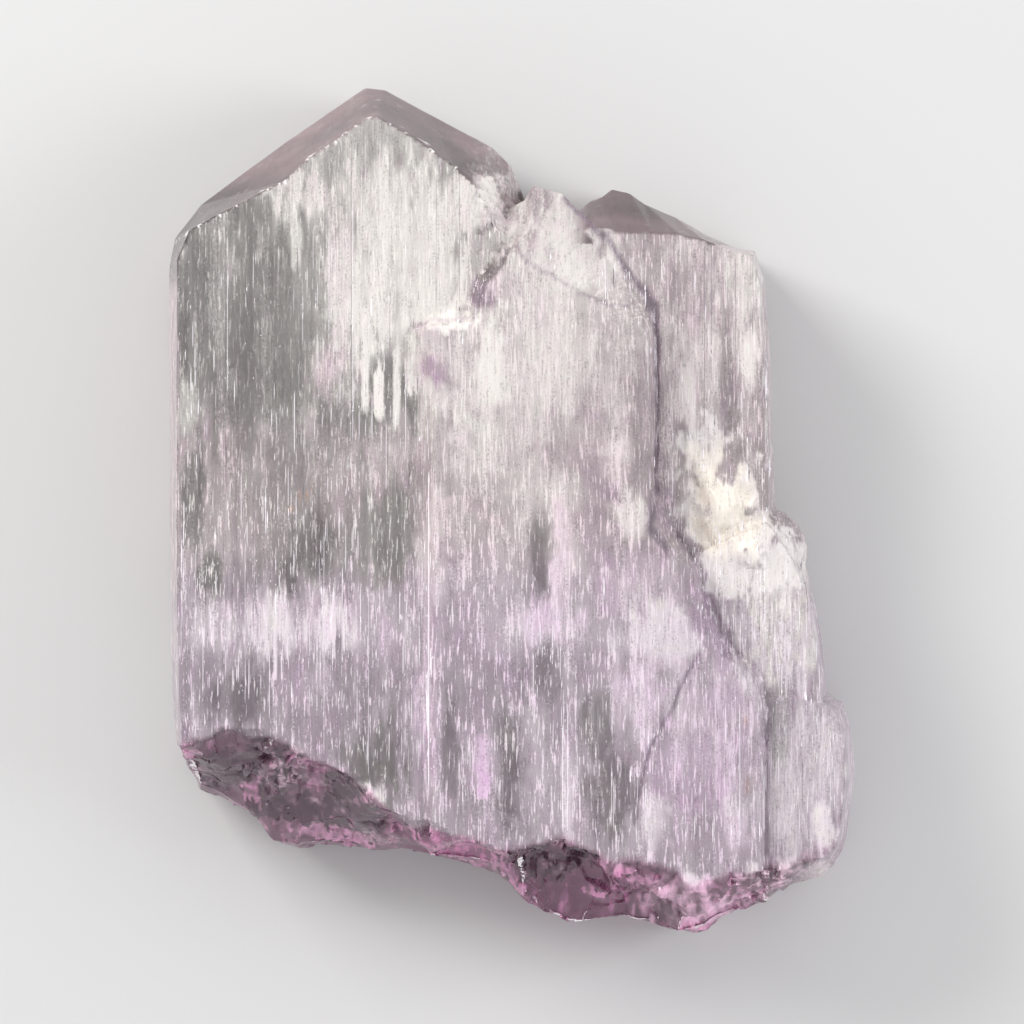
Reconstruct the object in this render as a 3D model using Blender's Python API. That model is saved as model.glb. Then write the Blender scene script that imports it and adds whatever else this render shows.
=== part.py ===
"""A kunzite crystal that lies on its flat back: parallel-grown individuals joined in one solid.

X is the crystal's width, Y its length with the terminations at +Y, and Z its thickness. The origin is at
the middle of the flat back face.
"""

import bpy
from mathutils import Matrix, Vector

MM = 0.001

# Driving dimensions, in millimetres.
CRYSTAL_LENGTH = 84.9
CRYSTAL_WIDTH = 68.8
MAIN_THICKNESS = 20.0
MIDDLE_THICKNESS = 21.3
RIGHT_THICKNESS = 17.0
PALE_THICKNESS = 18.6
LOBE_THICKNESS = 19.5
BACK_TAPER = 0.95
BACK_DEPTH = -1.0

# Each outline runs clockwise as seen from the front. A point holds where the widest section and the front
# face have that corner: section x, section y, face x, face y, in millimetres from the crystal's middle.
LEFT_SIDE = [
    (-33.4, -25.8, -32.7, -23.3),
    (-34.0, -18.8, -32.9, -18.8),
    (-34.2, -8.8, -33.1, -8.8),
    (-34.4, 11.2, -33.2, 11.2),
    (-34.3, 24.4, -33.1, 25.0),
]
MAIN_TERMINATION = [
    (-33.7, 27.4, -31.9, 27.8),
    (-31.2, 30.7, -29.9, 28.9),
    (-25.3, 35.1, -22.7, 32.6),
    (-22.7, 37.0, -20.5, 34.6),
    (-14.7, 42.4, -14.8, 38.6),
    (-12.7, 42.2, -13.4, 39.1),
    (-8.2, 39.8, -9.6, 36.9),
    (-2.1, 36.5, -5.7, 34.1),
    (-0.3, 34.6, -3.0, 31.6),
    (0.8, 32.2, -1.5, 28.6),
    (1.4, 30.7, -0.7, 26.2),
]
MAIN_INSIDE = [
    (3.0, 20.0, 3.0, 20.0),
    (12.0, 0.0, 12.0, 0.0),
]
# The ragged break at the foot, from the right lobe to the left side.
BREAK = [
    (31.0, -36.6, 30.0, -34.4),
    (28.3, -37.7, 27.6, -35.2),
    (25.6, -39.0, 25.0, -35.6),
    (22.9, -40.1, 22.3, -36.0),
    (21.0, -41.2, 20.4, -36.8),
    (19.7, -42.2, 19.0, -37.4),
    (18.4, -42.5, 17.8, -36.8),
    (16.2, -42.1, 15.6, -35.6),
    (13.8, -41.5, 13.4, -34.8),
    (9.8, -40.8, 9.5, -34.3),
    (6.8, -41.4, 6.8, -33.3),
    (5.5, -41.4, 5.0, -32.2),
    (3.1, -40.1, 2.6, -32.3),
    (1.2, -38.2, 0.8, -33.6),
    (-0.4, -36.6, -0.7, -33.8),
    (-2.5, -35.5, -3.2, -33.0),
    (-5.6, -35.1, -5.7, -32.0),
    (-7.9, -34.9, -8.2, -30.4),
    (-11.2, -33.8, -10.4, -30.8),
    (-13.2, -33.7, -12.2, -30.0),
    (-16.3, -33.5, -15.0, -27.4),
    (-19.3, -33.7, -18.3, -25.2),
    (-21.4, -34.0, -20.4, -24.5),
    (-23.9, -32.9, -22.2, -22.6),
    (-25.5, -30.6, -24.5, -21.5),
    (-28.3, -29.1, -27.5, -21.5),
    (-31.7, -28.1, -30.7, -22.6),
]
MIDDLE_LEFT = [
    (-12.0, -27.0, -7.6, -27.0),
    (-12.0, 10.0, -7.6, 12.0),
    (-13.0, 19.0, -8.8, 17.6),
    (-11.0, 22.5, -7.2, 18.6),
    (-7.0, 22.5, -3.4, 18.8),
    (-6.0, 25.0, -2.6, 22.0),
    (-3.5, 28.5, 0.0, 25.6),
]
MIDDLE_TERMINATION = [
    (1.3, 30.9, 0.5, 25.9),
    (2.1, 32.4, 1.3, 25.3),
    (3.3, 32.0, 2.8, 24.2),
    (5.1, 31.5, 4.6, 22.8),
    (7.2, 29.3, 6.0, 22.0),
    (9.2, 27.0, 7.6, 21.2),
    (11.0, 24.4, 9.2, 20.4),
    (12.8, 22.2, 11.2, 19.6),
    (14.0, 20.6, 12.9, 18.6),
]
MIDDLE_RIGHT = [
    (14.4, 17.2, 13.5, 16.7),
    (14.3, 2.2, 13.7, 2.2),
    (14.8, 1.2, 14.0, 0.6),
    (16.0, -1.8, 15.0, -2.8),
    (18.8, -4.8, 17.8, -6.0),
    (19.6, -7.8, 18.6, -9.0),
    (21.6, -12.8, 20.6, -14.3),
    (23.8, -14.5, 23.0, -15.6),
    (25.0, -16.4, 24.1, -17.4),
    (25.3, -18.8, 24.4, -19.2),
    (25.4, -34.8, 24.5, -34.4),
]
RIGHT_OUTLINE = [
    (6.3, 30.0, 6.3, 27.7),
    (7.9, 31.1, 8.2, 28.3),
    (9.0, 31.5, 9.4, 28.1),
    (10.0, 32.3, 10.6, 27.8),
    (11.8, 31.9, 12.2, 27.6),
    (13.3, 30.8, 14.0, 27.6),
    (16.3, 29.4, 16.6, 27.5),
    (19.2, 27.7, 19.2, 26.9),
    (22.5, 26.3, 22.3, 25.7),
    (24.3, 26.1, 23.8, 25.2),
    (25.3, 23.4, 24.5, 23.0),
    (25.9, 14.5, 25.1, 14.5),
    (26.3, 4.3, 25.5, 4.3),
    (26.3, -4.8, 25.5, -4.8),
    (12.0, -6.0, 12.0, -6.0),
    (6.0, 10.0, 6.0, 10.0),
]
PALE_OUTLINE = [
    (17.0, -3.6, 18.0, -4.4),
    (22.0, -1.2, 22.0, -2.4),
    (26.3, -0.1, 25.2, -1.0),
    (27.4, -1.4, 26.2, -2.2),
    (28.9, -3.7, 27.6, -4.4),
    (29.7, -5.5, 28.4, -6.2),
    (30.0, -7.3, 28.8, -7.8),
    (30.5, -9.2, 29.3, -9.6),
    (31.0, -12.1, 29.8, -12.3),
    (31.5, -17.3, 30.4, -17.5),
    (31.5, -26.0, 30.4, -26.0),
    (18.0, -26.0, 18.0, -26.0),
]
LOBE_OUTLINE = [
    (25.1, -17.7, 25.1, -18.6),
    (28.4, -17.6, 28.4, -18.6),
    (31.5, -18.3, 30.9, -19.4),
    (33.1, -19.1, 32.0, -20.2),
    (33.5, -20.3, 32.3, -21.0),
    (34.0, -22.5, 32.8, -22.9),
    (34.4, -26.1, 33.1, -26.1),
    (34.0, -28.8, 32.8, -28.6),
    (33.5, -32.5, 32.3, -31.9),
    (33.1, -33.9, 31.9, -33.2),
    (32.4, -35.3, 31.2, -34.0),
]
LOBE_INSIDE = [
    (20.0, -36.0, 20.0, -33.0),
    (20.0, -20.0, 20.0, -20.0),
]

# Rounded masses of the granular patch: centre x, y, half width, half length, top.
GRANULAR_MASSES = [
    (18.8, 4.2, 2.8, 4.6, 17.7),
    (20.6, 0.4, 4.4, 7.2, 18.3),
    (23.8, -4.2, 6.0, 5.0, 19.2),
]
# Shell-shaped bites of the break: centre x, y, z and radius.
SHELL_BITES = [
    (-28.0, -33.6, 18.5, 8.2),
    (-21.5, -33.2, 20.5, 9.0),
    (-14.5, -36.6, 19.0, 7.6),
    (-4.4, -39.4, 17.0, 6.4),
    (4.6, -41.4, 20.0, 8.0),
    (11.5, -44.0, 17.5, 7.4),
    (22.0, -44.6, 15.5, 6.6),
]
BITE_ROUNDNESS = 3

KUNZITE_COLOUR = (0.62, 0.47, 0.60, 1.0)
KUNZITE_ROUGHNESS = 0.12


def clear_scene():
    for item in list(bpy.data.objects):
        bpy.data.objects.remove(item, do_unlink=True)


def kunzite_material():
    material = bpy.data.materials.new("kunzite")
    material.use_nodes = True
    shader = material.node_tree.nodes["Principled BSDF"]
    shader.inputs["Base Color"].default_value = KUNZITE_COLOUR
    shader.inputs["Roughness"].default_value = KUNZITE_ROUGHNESS
    shader.inputs["Metallic"].default_value = 0.0
    return material


def object_from(name, points, faces):
    mesh = bpy.data.meshes.new(name)
    mesh.from_pydata([Vector(point) * MM for point in points], [], faces)
    mesh.update()
    item = bpy.data.objects.new(name, mesh)
    bpy.context.collection.objects.link(item)
    return item


def individual(name, outline, belt_low, belt_high, front):
    """One crystal: a tapered back, an upright belt and facets that run in to the front face."""
    middle_x = sum(point[0] for point in outline) / len(outline)
    middle_y = sum(point[1] for point in outline) / len(outline)
    back = []
    for x, y, _, _ in outline:
        back.append((middle_x + (x - middle_x) * BACK_TAPER, middle_y + (y - middle_y) * BACK_TAPER, BACK_DEPTH))
    low = [(x, y, belt_low) for x, y, _, _ in outline]
    high = [(x, y, belt_high) for x, y, _, _ in outline]
    face = [(x, y, front) for _, _, x, y in outline]
    rings = [back, low, high, face]
    count = len(outline)
    points = [point for ring in rings for point in ring]
    faces = [list(range(count))]
    for ring in range(len(rings) - 1):
        for corner in range(count):
            following = (corner + 1) % count
            here = ring * count
            above = here + count
            faces.append([here + corner, above + corner, above + following])
            faces.append([here + corner, above + following, here + following])
    faces.append([3 * count + corner for corner in reversed(range(count))])
    return object_from(name, points, faces)


def ball(name, centre, radii, roundness):
    bpy.ops.mesh.primitive_ico_sphere_add(subdivisions=roundness, radius=1.0, location=(0, 0, 0))
    item = bpy.context.object
    item.name = name
    place = Matrix.Translation(Vector(centre) * MM) @ Matrix.Diagonal((*(value * MM for value in radii), 1.0))
    item.data.transform(place)
    return item


def box(name, low, high):
    bpy.ops.mesh.primitive_cube_add(size=1.0, location=(0, 0, 0))
    item = bpy.context.object
    item.name = name
    centre = (Vector(low) + Vector(high)) * 0.5 * MM
    size = (Vector(high) - Vector(low)) * MM
    item.data.transform(Matrix.Translation(centre) @ Matrix.Diagonal((*size, 1.0)))
    return item


def combine(body, other, operation):
    modifier = body.modifiers.new("join", "BOOLEAN")
    modifier.operation = operation
    modifier.solver = "EXACT"
    modifier.object = other
    bpy.context.view_layer.objects.active = body
    bpy.ops.object.modifier_apply(modifier=modifier.name)
    bpy.data.objects.remove(other, do_unlink=True)


def centre_on_origin(body):
    """The middle of the box goes to x = y = 0, and the back face to z = 0."""
    corners = [vertex.co for vertex in body.data.vertices]
    low = Vector(min(corner[axis] for corner in corners) for axis in range(3))
    high = Vector(max(corner[axis] for corner in corners) for axis in range(3))
    body.data.transform(Matrix.Translation((-(low.x + high.x) / 2, -(low.y + high.y) / 2, -low.z)))
    return (high - low) / MM


def build():
    clear_scene()
    body = individual("kunzite_crystal", LEFT_SIDE + MAIN_TERMINATION + MAIN_INSIDE + BREAK[8:], 5.0, 9.0,
                      MAIN_THICKNESS)
    middle = individual("middle", MIDDLE_LEFT + MIDDLE_TERMINATION + MIDDLE_RIGHT + BREAK[2:18], 4.6, 16.0,
                        MIDDLE_THICKNESS)
    combine(body, middle, "UNION")
    combine(body, individual("right", RIGHT_OUTLINE, 4.2, 9.4, RIGHT_THICKNESS), "UNION")
    combine(body, individual("pale", PALE_OUTLINE, 4.4, 9.8, PALE_THICKNESS), "UNION")
    combine(body, individual("lobe", LOBE_OUTLINE + BREAK[:3] + LOBE_INSIDE, 4.8, 10.2, LOBE_THICKNESS), "UNION")
    for x, y, half_width, half_length, top in GRANULAR_MASSES:
        height = top * 0.5
        combine(body, ball("granular", (x, y, height), (half_width, half_length, height), 3), "UNION")
    for x, y, z, radius in SHELL_BITES:
        combine(body, ball("bite", (x, y, z), (radius, radius, radius), BITE_ROUNDNESS), "DIFFERENCE")
    reach = CRYSTAL_LENGTH
    combine(body, box("back_cut", (-reach, -reach, -9.0), (reach, reach, 0.0)), "DIFFERENCE")
    size = centre_on_origin(body)
    print("crystal size in mm", [round(value, 2) for value in size],
          "asked for", CRYSTAL_WIDTH, CRYSTAL_LENGTH, MIDDLE_THICKNESS)
    body.data.materials.clear()
    body.data.materials.append(kunzite_material())
    body.data.shade_flat()


build()
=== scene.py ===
# %% [markdown]
# A kunzite crystal, seen from above
#
# Kunzite is the lilac form of spodumene. This specimen is a flat group of crystals that grew side by side and
# joined. Every face carries fine grooves along the length, the far end has smooth slanting facets, and the
# near end is a ragged glassy break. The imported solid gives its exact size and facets. The lesson adds what
# the eye reads as crystal: grooves, steps, etch pits, silky veils, and glass that is lilac where it is deep.

# %% The frame
import math
from itertools import product

import bpy
import numpy as np
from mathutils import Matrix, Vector
from mathutils.bvhtree import BVHTree
from mathutils.kdtree import KDTree


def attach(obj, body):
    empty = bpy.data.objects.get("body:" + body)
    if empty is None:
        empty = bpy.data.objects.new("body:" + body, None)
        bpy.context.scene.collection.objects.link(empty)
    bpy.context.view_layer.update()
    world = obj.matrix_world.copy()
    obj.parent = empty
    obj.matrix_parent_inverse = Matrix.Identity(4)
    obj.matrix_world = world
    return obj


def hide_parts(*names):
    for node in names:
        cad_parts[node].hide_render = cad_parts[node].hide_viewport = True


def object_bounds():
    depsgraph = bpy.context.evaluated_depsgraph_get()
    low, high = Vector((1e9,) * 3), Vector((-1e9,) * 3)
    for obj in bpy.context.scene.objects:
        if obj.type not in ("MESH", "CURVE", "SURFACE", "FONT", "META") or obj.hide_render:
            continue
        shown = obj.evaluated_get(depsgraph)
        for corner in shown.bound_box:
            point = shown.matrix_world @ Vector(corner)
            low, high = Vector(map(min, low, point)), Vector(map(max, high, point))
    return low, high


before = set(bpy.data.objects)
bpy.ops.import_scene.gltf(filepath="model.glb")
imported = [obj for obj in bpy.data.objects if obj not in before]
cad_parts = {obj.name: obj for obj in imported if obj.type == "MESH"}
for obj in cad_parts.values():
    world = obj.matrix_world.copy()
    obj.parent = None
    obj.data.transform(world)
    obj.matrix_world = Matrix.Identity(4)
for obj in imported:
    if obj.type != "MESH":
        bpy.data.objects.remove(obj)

CAD_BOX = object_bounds()
MM = 0.001
LOW = np.array(CAD_BOX[0]) / MM
HIGH = np.array(CAD_BOX[1]) / MM
print("crystal box in mm", LOW.round(2), HIGH.round(2))

# %% [markdown]
# Picking one piece at a time
#
# An operator acts on everything that is selected, so each step starts by selecting only its own piece.

# %% Selecting and applying
def only(piece):
    """Makes piece the one selected and active object."""
    bpy.ops.object.select_all(action="DESELECT")
    piece.select_set(True)
    bpy.context.view_layer.objects.active = piece


def apply_modifier(piece, kind, **settings):
    """Adds a modifier with these settings and applies it."""
    only(piece)
    modifier = piece.modifiers.new(kind.lower(), kind)
    for name, value in settings.items():
        setattr(modifier, name, value)
    bpy.ops.object.modifier_apply(modifier=modifier.name)


def stretch(piece, factors):
    """Scales the whole mesh about the origin, in edit mode."""
    only(piece)
    bpy.ops.object.mode_set(mode="EDIT")
    bpy.ops.mesh.select_all(action="SELECT")
    bpy.ops.transform.resize(value=factors, center_override=(0, 0, 0))
    bpy.ops.object.mode_set(mode="OBJECT")


# %% [markdown]
# A mesh that runs with the grain
#
# Spodumene's grooves are long and narrow, so the mesh needs cells that are narrow across the crystal and
# longer along it. A voxel remesh makes square cells, so the copy of the solid is squeezed along its length,
# remeshed, and stretched back. A shrinkwrap then lays it on the exact facets again.

# %% The crystal's skin
CELL_WIDTH = 0.24 * MM
SQUEEZE = 0.45
SAME_POINT = 0.002 * MM


def copy_of_node(node, name):
    """A merged copy of a CAD node's mesh, under its own name, at the origin."""
    only(bpy.data.objects[node])
    bpy.ops.object.duplicate()
    piece = bpy.context.object
    piece.name = name
    piece.data.name = name
    only(piece)
    bpy.ops.object.mode_set(mode="EDIT")
    bpy.ops.mesh.select_all(action="SELECT")
    bpy.ops.mesh.remove_doubles(threshold=SAME_POINT)
    bpy.ops.object.mode_set(mode="OBJECT")
    return piece


crystal = copy_of_node("kunzite_crystal", "crystal_group")
stretch(crystal, (1, SQUEEZE, 1))
apply_modifier(crystal, "REMESH", mode="VOXEL", voxel_size=CELL_WIDTH, adaptivity=0.0)
stretch(crystal, (1, 1 / SQUEEZE, 1))
apply_modifier(crystal, "SHRINKWRAP", target=bpy.data.objects["kunzite_crystal"],
               wrap_method="NEAREST_SURFACEPOINT")
print("skin has", len(crystal.data.polygons), "faces")

# %% [markdown]
# Noise with a grain
#
# Every natural unevenness below comes from one seeded noise: random values on a lattice of cells, blended
# smoothly between them. The cell is given in millimetres along each axis, so a long cell along Y draws
# grooves and a cube draws lumps.

# %% Lattice noise
TABLE_SIZE = 8192
HASH_STEPS = (73856093, 19349663, 83492791)


def grain(points, cell, seed, octaves=1):
    """Smooth noise from -1 to 1 at points, with the given cell in millimetres."""
    total = np.zeros(len(points))
    strength = 1.0
    whole = 0.0
    for octave in range(octaves):
        table = np.random.default_rng(seed + octave).random(TABLE_SIZE) * 2 - 1
        scaled = points * 2.0 ** octave / np.array(cell)
        base = np.floor(scaled).astype(np.int64)
        part = scaled - base
        part = part * part * (3 - 2 * part)
        value = np.zeros(len(points))
        for corner in product((0, 1), repeat=3):
            steps = (base + np.array(corner)) * np.array(HASH_STEPS)
            place = steps[:, 0] ^ steps[:, 1] ^ steps[:, 2]
            weight = np.prod(np.where(corner, part, 1 - part), axis=1)
            value += table[place % TABLE_SIZE] * weight
        total += value * strength
        whole += strength
        strength *= 0.5
    return total / whole


def smooth(value, low, high):
    """Runs from 0 at low to 1 at high with soft ends."""
    part = np.clip((value - low) / (high - low), 0, 1)
    return part * part * (3 - 2 * part)


def mesh_arrays(piece):
    """The mesh's points in millimetres, and its normals."""
    count = len(piece.data.vertices)
    points = np.empty(count * 3)
    normals = np.empty(count * 3)
    piece.data.vertices.foreach_get("co", points)
    piece.data.vertices.foreach_get("normal", normals)
    return points.reshape(-1, 3) / MM, normals.reshape(-1, 3)


def away_from(points, x, y, half_width, half_length):
    """0 at the middle of an oval and 1 on its edge."""
    return np.hypot((points[:, 0] - x) / half_width, (points[:, 1] - y) / half_length)


def patches(points, places, wobble, seed, cell=(1.3, 6.0, 9.0)):
    """The strongest of several ragged ovals: centre x, y, half width, half length, strength."""
    shift = grain(points, cell, seed, 4) * wobble
    field = np.zeros(len(points))
    for *oval, strength in places:
        field = np.maximum(field, strength * (1 - smooth(away_from(points, *oval) + shift, 0.55, 1.25)))
    return field


# %% [markdown]
# Kinds of surface
#
# The real crystal has five kinds of surface: broad grooved faces, smooth slanting end facets, chipped
# shoulders, a lumpy granular patch and the glassy break at the foot. Each is a soft mask that comes from a
# point's place and its normal, so the same function serves the shape and, later, the finish.

# %% Masks of the surfaces
GRANULAR_PLACES = [(19.0, 5.2, 2.8, 4.4, 1.0), (20.6, 0.4, 4.2, 6.2, 1.0), (22.8, -3.8, 5.4, 4.6, 1.0),
                   (26.8, -4.6, 3.8, 3.6, 0.9), (20.8, -7.0, 1.8, 2.0, 0.9)]
CHIPPED_PLACES = [(-1.6, 30.2, 2.4, 5.6, 1.0), (-5.6, 19.2, 2.8, 1.3, 0.8), (2.0, 29.0, 1.4, 2.6, 0.5)]
BREAK_LINE = [(-34, -23.4), (-29, -21.8), (-24, -21.8), (-20.5, -24.0), (-18, -25.4), (-15, -27.2),
              (-12, -29.8), (-10, -31.0), (-6, -31.8), (0, -33.6), (5, -32.2), (9, -34.2), (13, -34.6),
              (17.8, -36.6), (22, -35.8), (26, -35.4), (34, -32.0)]
FACETS_FROM_Y = (22.0, 24.0)
LEFT_FACETS_TO_X = -0.4
RIGHT_FACETS_FROM = (6.0, 8.0, 26.6)


def break_edge(x):
    """Where the faces end and the break begins, as y at this x."""
    return np.interp(x, *zip(*BREAK_LINE))


def surfaces(points, normals):
    """Masks from 0 to 1: face, facet, chipped, granular and broken."""
    upper = smooth(normals[:, 2], -0.2, 0.3)
    face = smooth(np.abs(normals[:, 2]), 0.78, 0.96)
    line = break_edge(points[:, 0]) + grain(points, (2.0, 2.0, 9.0), 51, 2) * 0.9
    broken = smooth(line - points[:, 1], -0.4, 0.7) * (1 - smooth(points[:, 0], 27.0, 31.0) * 0.8)
    broken *= np.where(normals[:, 2] < -0.9, 0.0, 1.0)
    in_termination = smooth(points[:, 1], *FACETS_FROM_Y) * upper * (1 - face)
    low_x, high_x, low_y = RIGHT_FACETS_FROM
    right_facet = smooth(points[:, 0], low_x, high_x) * (points[:, 1] > low_y)
    own_facet = np.where(points[:, 0] < LEFT_FACETS_TO_X, 1.0, right_facet)
    granular = patches(points, GRANULAR_PLACES, 0.9, 21, (1.8, 1.8, 9.0)) * upper
    chipped = patches(points, CHIPPED_PLACES, 0.8, 27, (1.5, 1.5, 9.0)) * upper
    return {"face": face, "facet": in_termination * own_facet * (1 - chipped), "chipped": chipped,
            "granular": granular, "broken": broken}


# %% [markdown]
# Edges that stay visible
#
# Where one crystal ends on another there is a thin notch, lilac and darkened by painted shade, as light is
# led away inside it. Three of them and one healed crack draw the group's layout. Each is a line of given
# places, which is made to wander a little, and a vertex's mask comes from its distance to the line.

# %% Notches
STEP_LINES = [
    [(-9.6, 18.2), (-8.0, 18.9), (-3.6, 19.2), (-2.8, 22.4), (-0.6, 25.6), (0.2, 26.2), (2.8, 24.0),
     (4.8, 22.7), (8.3, 20.9), (11.4, 20.1)],
    [(5.4, 31.3), (7.3, 29.2), (9.3, 26.9), (11.2, 24.2), (13.0, 21.8), (14.2, 20.2), (14.3, 2.4),
     (13.6, -1.6), (15.4, -3.6)],
    [(16.0, -2.0), (18.6, -5.2), (19.4, -8.2), (21.4, -13.0), (23.6, -14.8), (24.9, -16.6), (25.2, -19.0),
     (25.1, -34.0)],
]
CRACK_LINE = [(18.5, -13.9), (16.4, -17.7), (15.7, -19.8), (14.1, -22.3), (13.1, -25.6), (12.2, -28.7),
              (12.1, -30.7)]
WANDER = 0.35


def near_line(points, line, width):
    """1 on the line, falling to 0 at width from it."""
    away = np.full(len(points), 1e9)
    for (x0, y0), (x1, y1) in zip(line, line[1:]):
        run = np.array((x1 - x0, y1 - y0))
        along = ((points[:, :2] - (x0, y0)) @ run) / (run @ run)
        closest = np.array((x0, y0)) + np.clip(along, 0, 1)[:, None] * run
        away = np.minimum(away, np.linalg.norm(points[:, :2] - closest, axis=1))
    return 1 - smooth(away, 0.0, width)


def wandering(points):
    """The points, shifted a little and unevenly in x and y, so that straight lines look grown."""
    shift = grain(points, (1.2, 2.0, 9.0), 71, 2) * WANDER
    return points + np.stack([shift, shift, np.zeros(len(points))], axis=1)


# %% [markdown]
# Shells and chips of the break
#
# Glass and crystal break in curved shells: round scoops that meet in sharp ridges, with faint ripples in
# them. In a few places the break is crumbled into small flat chips instead. Both are worked out per vertex,
# and both also give each shell or chip its own random number, which later shades it.

# %% Scoops and chips
SCOOP_COUNT = 90
SCOOP_SIZES = (1.8, 6.0)
SCOOP_DEPTH = 0.30
RIPPLE_HEIGHT = 0.035
RIPPLE_PITCH = 5.0
CHIPS = (2.4, 0.34, 81)
CRUMBS = (1.2, 0.38, 83)
CHIPS_TO_Y = LOW[1] + 24.0
CRUMBLED_PLACES = [(-22.8, -25.0, 2.8, 3.0, 1.0), (-9.5, -31.5, 3.0, 1.6, 0.8), (4.0, -34.2, 5.0, 2.4, 1.0),
                   (14.0, -36.0, 6.0, 2.4, 0.9), (23.0, -36.4, 5.0, 2.0, 0.9)]
SHADE_STEP = 0.618


def plates(points, size, tilt, seed):
    """Small flat chips: the height of each point on its cell's tilted plane, and a random number per cell."""
    random = np.random.default_rng(seed)
    high = np.array((HIGH[0], CHIPS_TO_Y, HIGH[2]))
    count = int(np.prod(high - LOW) / size ** 3)
    seeds = random.uniform(LOW, high, (count, 3))
    lean = random.normal(0, 1, (count, 3))
    lean /= np.linalg.norm(lean, axis=1)[:, None]
    tree = KDTree(count)
    for index, seed_place in enumerate(seeds):
        tree.insert(seed_place, index)
    tree.balance()
    height = np.zeros(len(points))
    shade = np.zeros(len(points))
    for index in np.nonzero(points[:, 1] < CHIPS_TO_Y)[0]:
        cell = tree.find(points[index])[1]
        height[index] = lean[cell] @ (points[index] - seeds[cell]) * tilt
        shade[index] = (cell * SHADE_STEP) % 1
    return height, shade


def scoops(points, seed):
    """Depth of many overlapping round scoops along the foot, and a random number for each shell."""
    random = np.random.default_rng(seed)
    deepest = np.zeros(len(points))
    shade = np.full(len(points), 0.5)
    for count in range(SCOOP_COUNT):
        x = random.uniform(-34, 34)
        y = break_edge(x) - random.uniform(-0.5, 9.0)
        centre = np.array((x, y, random.uniform(1.0, 20.0)))
        radius = random.uniform(*SCOOP_SIZES)
        away = np.linalg.norm(points - centre, axis=1)
        inside = np.clip(1 - (away / radius) ** 2, 0, 1)
        depth = inside * radius * SCOOP_DEPTH + np.sin(away * RIPPLE_PITCH) * RIPPLE_HEIGHT * (inside > 0)
        shade = np.where(depth > deepest, (count * SHADE_STEP) % 1, shade)
        deepest = np.maximum(deepest, depth)
    return -deepest, shade


def crumbled_part(points):
    """1 where the break is crumbled, 0 where it has smooth shells."""
    return patches(points, CRUMBLED_PLACES, 0.5, 57, (1.6, 1.6, 9.0))


# %% [markdown]
# Relief of the faces
#
# The broad faces are finely grooved along the length and rise and fall in low growth steps. Small
# lens-shaped etch pits lie along the grooves, and the granular patch is lumpy. Each vertex moves along its
# own normal by the sum of these reliefs, which are all in millimetres.

# %% Moving the skin
FINE_GROOVES = 0.07
BROAD_GROOVES = 0.12
TERRACE_HEIGHT = 0.16
TERRACES = 3.0
PIT_DEPTH = 0.12
LUMP_HEIGHT = 0.34
CHIPPED_DEPTH = 1.25
SIDE_WAVES = 0.25
FACET_WAVES = 0.07
NOTCH_WIDTH = 0.42
NOTCH_DEPTH = 0.15
CRACK_WIDTH = 0.50
CRACK_DEPTH = 0.14
BACK_RELIEF = 0.35
BOX_MARGIN = 0.004

points, normals = mesh_arrays(crystal)
kinds = surfaces(points, normals)
plain_face = kinds["face"] * (1 - kinds["granular"]) * (1 - kinds["broken"])
side = (1 - kinds["face"]) * (1 - kinds["broken"]) * (1 - kinds["facet"])

grooves = grain(points, (0.9, 40.0, 30.0), 1, 3) * FINE_GROOVES
grooves += grain(points, (3.4, 60.0, 40.0), 4, 2) * BROAD_GROOVES
terraces = np.round(grain(points, (5.0, 30.0, 60.0), 7, 3) * TERRACES) / TERRACES * TERRACE_HEIGHT
pits = -smooth(grain(points, (0.55, 2.6, 4.0), 9, 2), 0.40, 0.66) * PIT_DEPTH
lumps = grain(points, (0.7, 0.9, 0.7), 12, 3) * LUMP_HEIGHT
chips = -np.abs(grain(points, (1.6, 1.3, 1.6), 15, 3)) * CHIPPED_DEPTH
waves = grain(points, (9.0, 9.0, 9.0), 17, 2) * SIDE_WAVES

relief = plain_face * (grooves + terraces + pits) + side * (grooves * 0.5 + waves)
relief += kinds["facet"] * grain(points, (6.0, 4.0, 6.0), 33, 2) * FACET_WAVES
crumbled = crumbled_part(points)
chipping = plates(points, *CHIPS)[0] * (0.35 + 0.65 * crumbled)
chipping += plates(points, *CRUMBS)[0] * (0.1 + 0.8 * crumbled)
relief += kinds["broken"] * (scoops(points, 5)[0] * 0.75 + chipping + 0.15)
relief += kinds["granular"] * (lumps - 0.2) + kinds["chipped"] * chips * (1 - kinds["granular"])
upper = smooth(normals[:, 2], 0.2, 0.6)
wander = wandering(points)
notch = np.max([near_line(wander, line, NOTCH_WIDTH) for line in STEP_LINES], axis=0) * upper
crack = near_line(wander, CRACK_LINE, CRACK_WIDTH) * upper
relief -= notch * NOTCH_DEPTH * (1 - kinds["granular"]) + crack * CRACK_DEPTH
relief *= np.where(normals[:, 2] < -0.8, BACK_RELIEF, 1.0)

moved = points + normals * relief[:, None]
moved = np.clip(moved, LOW + BOX_MARGIN, HIGH - BOX_MARGIN)
crystal.data.vertices.foreach_set("co", (moved * MM).ravel())
crystal.data.update()
print("relief from", relief.min().round(2), "to", relief.max().round(2), "mm")

# %% [markdown]
# Fewer triangles where they don't show
#
# The skin has more cells than an exported piece may keep. A collapse decimation removes the ones that bend
# least, which are those on the flat back and in the calm areas.

# %% Thinning the skin
MOST_TRIANGLES = 190000
SHARP_ANGLE = 28

triangle_count = sum(len(face.vertices) - 2 for face in crystal.data.polygons)
kept_part = min(1.0, MOST_TRIANGLES / triangle_count)
apply_modifier(crystal, "DECIMATE", decimate_type="COLLAPSE", ratio=kept_part, use_collapse_triangulate=True)
only(crystal)
bpy.ops.object.shade_smooth_by_angle(angle=math.radians(SHARP_ANGLE))
print("thinned skin has", len(crystal.data.polygons), "triangles")
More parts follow.
